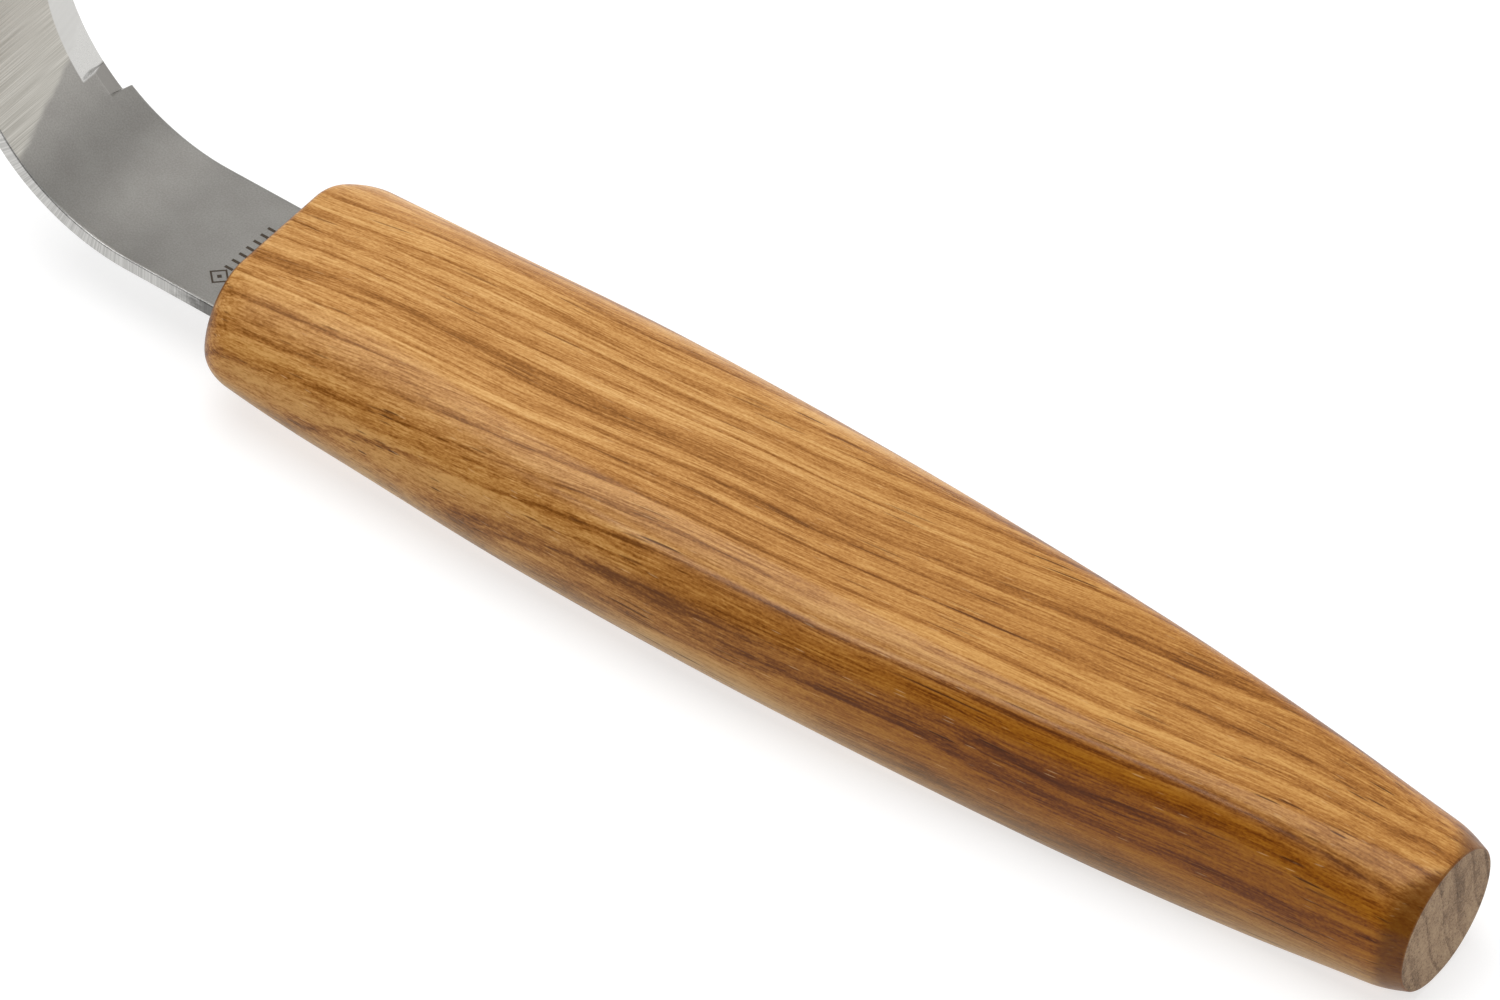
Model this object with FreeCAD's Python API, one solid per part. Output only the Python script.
import FreeCAD, Part
import math
import os

# Hook knife for spoon carving: a bent steel blade glued into a one-piece oak handle.
# Lengths are in millimetres and angles in degrees.
#
# The shapes are drawn around the blade: x = 0 is the front face of the handle, +X runs
# to the butt, z = 0 is the middle of the steel strip, and the hook curls up towards +Z.
# At the end they all move to the frame of the knife, whose origin is the bottom centre
# of the whole knife as it lies on the flat under its handle.

# Handle
HANDLE_LENGTH = 119.5
# Along the handle: distance from the front, half width, half thickness, half width of
# the flats on top and underneath. The sides between the flats are half ellipses.
HANDLE_FORM = (
    (0.0, 12.5, 5.7, 5.1),
    (14.5, 12.8, 6.65, 5.2),
    (34.5, 13.3, 7.0, 7.0),
    (59.5, 12.85, 7.3, 6.7),
    (84.5, 10.5, 7.85, 6.0),
    (104.5, 8.3, 7.65, 4.0),
    (119.5, 7.3, 6.65, 0.8),
)
FRONT_CORNER_RADIUS = 3.9
FRONT_EDGE_RADIUS = 0.8
# The underside sweeps up to the front face over this length, by this much.
FRONT_SWEEP_LENGTH = 13.5
FRONT_SWEEP_RISE = 3.4
BUTT_RADIUS = 6.6
BUTT_CHAMFER_ANGLE = 20.0
# The underside is planed flat at this depth below the middle of the strip.
REST_DEPTH = 6.8

# How finely the handle's skin is drawn through its sections
SIDE_SPANS = 12
FRONT_STATIONS = 9
STATION_GROWTH = 1.25
LONGEST_STEP = 6.0

# Blade strip and hook. Angles round the hook start where the straight strip ends.
STRIP_WIDTH = 14.4
STRIP_THICKNESS = 1.4
HOOK_START = 10.7
HOOK_INNER_RADIUS = 17.2
HOOK_END_ANGLE = 190.0
TAPER_ANGLE = 116.0
TAPER_MIDDLE_ANGLE = 153.0

# Cutting edge along +Y, ground from the hollow side
EDGE_OFFSET = 7.0
EDGE_LAND = 0.1
BEVEL_WIDTH = 4.0
BEVEL_START_ANGLE = 47.8

# Notch that ends the cutting edge: a flat groove that slants across the inner corner of
# the strip and comes out at the thin land
NOTCH_START_ANGLE = 39.0
NOTCH_END_ANGLE = 48.5
NOTCH_OFFSET = 4.6

# Tang, hidden in the handle, and the glue round it
TANG_SHOULDER = 4.0
TANG_LENGTH = 62.0
TANG_ROOT_WIDTH = 10.0
TANG_END_WIDTH = 6.5
TANG_KEY_RADIUS = 1.1
TANG_KEY_PLACES = (20.0, 34.0, 48.0)
GLUE_GAP = 0.4
GLUE_FRONT_RECESS = 0.3

# How far cutting shapes run past the stock
CLEAR = 8.0

HOOK_OUTER_RADIUS = HOOK_INNER_RADIUS + STRIP_THICKNESS
HOOK_CENTRE = FreeCAD.Vector(-HOOK_START, 0, HOOK_INNER_RADIUS + STRIP_THICKNESS / 2)
HOOK_REACH = HOOK_START + HOOK_OUTER_RADIUS
TO_KNIFE_FRAME = FreeCAD.Vector((HOOK_REACH - HANDLE_LENGTH) / 2, 0, REST_DEPTH)
Y_AXIS = FreeCAD.Vector(0, 1, 0)


def vec(x, y, z):
    return FreeCAD.Vector(x, y, z)


def polygon_face(points):
    """Flat face inside a closed outline of straight lines."""
    return Part.Face(Part.makePolygon(list(points) + [points[0]]))


def rounding_inset(distance, length, depth):
    """How far a rounded end of this length and depth draws in at a distance from it."""
    if distance >= length:
        return 0.0
    return depth * (1 - math.sqrt(1 - (1 - distance / length) ** 2))


# --- handle ---------------------------------------------------------------------

def form_slope(row, column):
    """Slope of one column of the handle form at a row, taken across the rows beside it."""
    before = HANDLE_FORM[max(row - 1, 0)]
    after = HANDLE_FORM[min(row + 1, len(HANDLE_FORM) - 1)]
    return (after[column] - before[column]) / (after[0] - before[0])


def form_at(x):
    """Half width, half thickness and half flat at a distance from the front."""
    row = max(i for i in range(len(HANDLE_FORM) - 1) if HANDLE_FORM[i][0] <= x)
    start, end = HANDLE_FORM[row], HANDLE_FORM[row + 1]
    span = end[0] - start[0]
    t = (x - start[0]) / span
    values = []
    for column in (1, 2, 3):
        level = (1 - t) ** 2 * (1 + 2 * t) * start[column] + t ** 2 * (3 - 2 * t) * end[column]
        leaving = t * (1 - t) ** 2 * form_slope(row, column)
        arriving = t ** 2 * (1 - t) * form_slope(row + 1, column)
        values.append(level + (leaving - arriving) * span)
    return values


def side_curve(x, half_width, half_flat, above, below):
    """Half ellipse on the +Y side, from the flat on top round to the flat underneath."""
    bulge = half_width - half_flat
    turns = [math.pi * i / SIDE_SPANS for i in range(SIDE_SPANS + 1)]
    points = []
    for turn in turns:
        reach = above if turn < math.pi / 2 else below
        points.append(vec(x, half_flat + bulge * math.sin(turn), reach * math.cos(turn)))
    curve = Part.BSplineCurve()
    curve.interpolate(Points=points, Parameters=turns)
    return curve


def handle_section(x, half_width, half_flat, above, below):
    """Closed wire across the handle: two flats joined by two half ellipses."""
    right = side_curve(x, half_width, half_flat, above, below).toShape()
    left = right.mirror(vec(0, 0, 0), Y_AXIS)
    top = Part.makeLine(vec(x, -half_flat, above), vec(x, half_flat, above))
    bottom = Part.makeLine(vec(x, half_flat, -below), vec(x, -half_flat, -below))
    return Part.Wire([top, right, bottom, left])


def station_places():
    """Distances of the sections from the front, closest together where the end is round."""
    places = []
    for i in range(FRONT_STATIONS):
        turn = math.pi / 2 * i / FRONT_STATIONS
        places.append(FRONT_CORNER_RADIUS * (1 - math.cos(turn)))
    step = places[-1] - places[-2]
    while places[-1] + 1.5 * step < HANDLE_LENGTH:
        places.append(places[-1] + step)
        step = min(step * STATION_GROWTH, LONGEST_STEP)
    return places + [HANDLE_LENGTH]


def handle_sections():
    """Sections from front to butt, drawn in where the corners and edges of the front are round."""
    sections = []
    for x in station_places():
        width, height, flat = form_at(x)
        corner = rounding_inset(x, FRONT_CORNER_RADIUS, FRONT_CORNER_RADIUS)
        edge = rounding_inset(x, FRONT_EDGE_RADIUS, FRONT_EDGE_RADIUS)
        sweep = rounding_inset(x, FRONT_SWEEP_LENGTH, FRONT_SWEEP_RISE)
        sections.append(handle_section(x, width - corner, flat, height - edge, height - sweep))
    return sections


def butt_cone():
    """Cone that trims the corners off the butt and leaves a round end face."""
    rise = math.tan(math.radians(BUTT_CHAMFER_ANGLE))
    length = HANDLE_LENGTH + CLEAR
    return Part.makeCone(BUTT_RADIUS + length * rise, BUTT_RADIUS, length, vec(-CLEAR, 0, 0), vec(1, 0, 0))


def box_above(depth, start=0.0):
    """Large box from a distance behind the front, above a depth below the strip."""
    half = STRIP_WIDTH + CLEAR
    return Part.makeBox(HANDLE_LENGTH - start, 2 * half, 2 * half, vec(start, -half, -depth))


def make_handle(mortise):
    body = Part.makeLoft(handle_sections(), True, False)
    return body.common(box_above(REST_DEPTH)).common(butt_cone()).cut(mortise)


# --- blade ----------------------------------------------------------------------

def on_hook(angle, radius, y=0.0):
    """Point of the hook at an angle, a radius from its centre and a place across it."""
    turn = math.radians(angle)
    return HOOK_CENTRE + vec(-radius * math.sin(turn), y, -radius * math.cos(turn))


def hook_arc(radius):
    """Arc of the hook, from the straight strip round to the tip."""
    places = [on_hook(HOOK_END_ANGLE * part, radius) for part in (0, 0.5, 1)]
    return Part.Arc(*places).toShape()


def hook_strip():
    """Straight strip and its bend, at full width."""
    inner, outer = HOOK_INNER_RADIUS, HOOK_OUTER_RADIUS
    top = vec(TANG_SHOULDER, 0, STRIP_THICKNESS / 2)
    bottom = vec(TANG_SHOULDER, 0, -STRIP_THICKNESS / 2)
    edges = [
        Part.makeLine(bottom, on_hook(0, outer)),
        hook_arc(outer),
        Part.makeLine(on_hook(HOOK_END_ANGLE, outer), on_hook(HOOK_END_ANGLE, inner)),
        hook_arc(inner),
        Part.makeLine(on_hook(0, inner), top),
        Part.makeLine(top, bottom),
    ]
    profile = Part.Face(Part.Wire(edges))
    profile.translate(vec(0, -STRIP_WIDTH / 2, 0))
    return profile.extrude(vec(0, STRIP_WIDTH, 0))


def turned_tool(points, start_angle):
    """Solid swept round the hook and past the tip by an outline of (radius, y) points."""
    face = polygon_face([on_hook(0, radius, y) for radius, y in points])
    face.rotate(HOOK_CENTRE, Y_AXIS, start_angle)
    return face.revolve(HOOK_CENTRE, Y_AXIS, HOOK_END_ANGLE + CLEAR - start_angle)


def tip_trim():
    """Waste outside the arc that takes the back of the hook over to the tip."""
    middle = math.radians(TAPER_MIDDLE_ANGLE)
    mean_radius = (HOOK_INNER_RADIUS + HOOK_OUTER_RADIUS) / 2
    along = vec(-math.cos(middle), 0, math.sin(middle))
    outward = vec(-math.sin(middle), 0, -math.cos(middle))
    start = mean_radius * math.sin(math.radians(TAPER_ANGLE - TAPER_MIDDLE_ANGLE))
    end = mean_radius * math.sin(math.radians(HOOK_END_ANGLE - TAPER_MIDDLE_ANGLE))
    back, edge = -STRIP_WIDTH / 2, EDGE_OFFSET
    radius = ((end - start) ** 2 + (edge - back) ** 2) / (2 * (edge - back))
    sweep = math.asin((end - start) / radius)

    def place(distance, y):
        return HOOK_CENTRE + along * distance + vec(0, y, 0)

    def on_arc(turn):
        return place(start + radius * math.sin(turn), back + radius * (1 - math.cos(turn)))

    arc = Part.Arc(on_arc(0), on_arc(sweep / 2), on_arc(sweep)).toShape()
    rest = Part.makePolygon([
        on_arc(sweep),
        place(end, edge + CLEAR),
        place(end + CLEAR, edge + CLEAR),
        place(end + CLEAR, back - CLEAR),
        place(start, back - CLEAR),
        on_arc(0),
    ])
    return Part.Face(Part.Wire([arc] + rest.Edges)).extrude(outward * (HOOK_OUTER_RADIUS + CLEAR))


def edge_bevel():
    """Waste over the bevel, from the hollow face down to the thin land at the edge."""
    slope = (STRIP_THICKNESS - EDGE_LAND) / BEVEL_WIDTH
    edge_radius = HOOK_OUTER_RADIUS - EDGE_LAND
    inside, beyond = HOOK_INNER_RADIUS - 1, EDGE_OFFSET + 1
    points = [
        (inside, EDGE_OFFSET - (edge_radius - inside) / slope),
        (edge_radius + slope, beyond),
        (inside, beyond),
    ]
    return turned_tool(points, BEVEL_START_ANGLE)


def edge_step():
    """Waste beside the edge, which stands a little inside the side of the full strip."""
    inside, outside = HOOK_INNER_RADIUS - 1, HOOK_OUTER_RADIUS + 1
    far = STRIP_WIDTH / 2 + 1
    points = [(inside, EDGE_OFFSET), (outside, EDGE_OFFSET), (outside, far), (inside, far)]
    return turned_tool(points, NOTCH_START_ANGLE)


def edge_notch():
    """Waste over the slanting floor of the notch, which ends at the thin land like the bevel."""
    middle = (NOTCH_START_ANGLE + NOTCH_END_ANGLE) / 2
    half_width = HOOK_INNER_RADIUS * math.radians(NOTCH_END_ANGLE - NOTCH_START_ANGLE) / 2
    start = on_hook(middle, HOOK_INNER_RADIUS, NOTCH_OFFSET)
    end = on_hook(middle, HOOK_OUTER_RADIUS - EDGE_LAND, EDGE_OFFSET)
    outward = on_hook(middle, 1) - HOOK_CENTRE
    aside = outward.cross(Y_AXIS) * half_width
    slope = (end - start) / (end.y - start.y)
    low, high = start - slope, end + slope
    floor = polygon_face([low - aside, high - aside, high + aside, low + aside])
    return floor.extrude(outward * -CLEAR)


def tang_outline(gap):
    """Corners of the tang in plan, widened by a gap."""
    full = STRIP_WIDTH / 2 + gap
    root = TANG_ROOT_WIDTH / 2 + gap
    end = TANG_END_WIDTH / 2 + gap
    shoulder = TANG_SHOULDER + gap
    side = [(0, full), (shoulder, full), (shoulder, root), (TANG_LENGTH + gap, end)]
    return side + [(x, -y) for x, y in reversed(side)]


def plate(outline, thickness):
    """Flat plate of an outline of (x, y) points, centred on the middle of the strip."""
    face = polygon_face([vec(x, y, -thickness / 2) for x, y in outline])
    return face.extrude(vec(0, 0, thickness))


def make_tang():
    """Tapered tang with round keys filed into both sides for the glue to grip."""
    tang = plate(tang_outline(0), STRIP_THICKNESS)
    taper = (TANG_ROOT_WIDTH - TANG_END_WIDTH) / 2 / (TANG_LENGTH - TANG_SHOULDER)
    for x in TANG_KEY_PLACES:
        side = TANG_ROOT_WIDTH / 2 - taper * (x - TANG_SHOULDER)
        for y in (-side, side):
            tang = tang.cut(Part.makeCylinder(TANG_KEY_RADIUS, 2 * CLEAR, vec(x, y, -CLEAR)))
    return tang


def make_blade():
    strip = hook_strip()
    for waste in (tip_trim(), edge_bevel(), edge_step(), edge_notch()):
        strip = strip.cut(waste)
    return strip.fuse(make_tang()).removeSplitter()


# --- glued joint ------------------------------------------------------------------

def make_mortise():
    """Slot cut into the handle from its front face, a glue gap larger than the tang."""
    height = STRIP_THICKNESS + 2 * GLUE_GAP
    width = STRIP_WIDTH + 2 * GLUE_GAP
    mouth = Part.makeBox(CLEAR, width, height, vec(-CLEAR, -width / 2, -height / 2))
    return plate(tang_outline(GLUE_GAP), height).fuse(mouth).removeSplitter()


def make_adhesive(mortise, blade):
    """Cured glue that fills the slot round the tang, a little below the front face."""
    return mortise.common(box_above(REST_DEPTH, GLUE_FRONT_RECESS)).cut(blade)


def main():
    mortise = make_mortise()
    blade = make_blade()
    nodes = {
        "handle": make_handle(mortise),
        "blade": blade,
        "tang_adhesive": make_adhesive(mortise, blade),
    }
    os.makedirs("parts", exist_ok=True)
    for name, shape in nodes.items():
        solid = shape.Solids[0].copy()
        solid.translate(TO_KNIFE_FRAME)
        print(name, "solids", len(shape.Solids), "valid", solid.isValid(), "mm3", round(solid.Volume, 1))
        solid.exportStep("parts/" + name + ".step")


main()
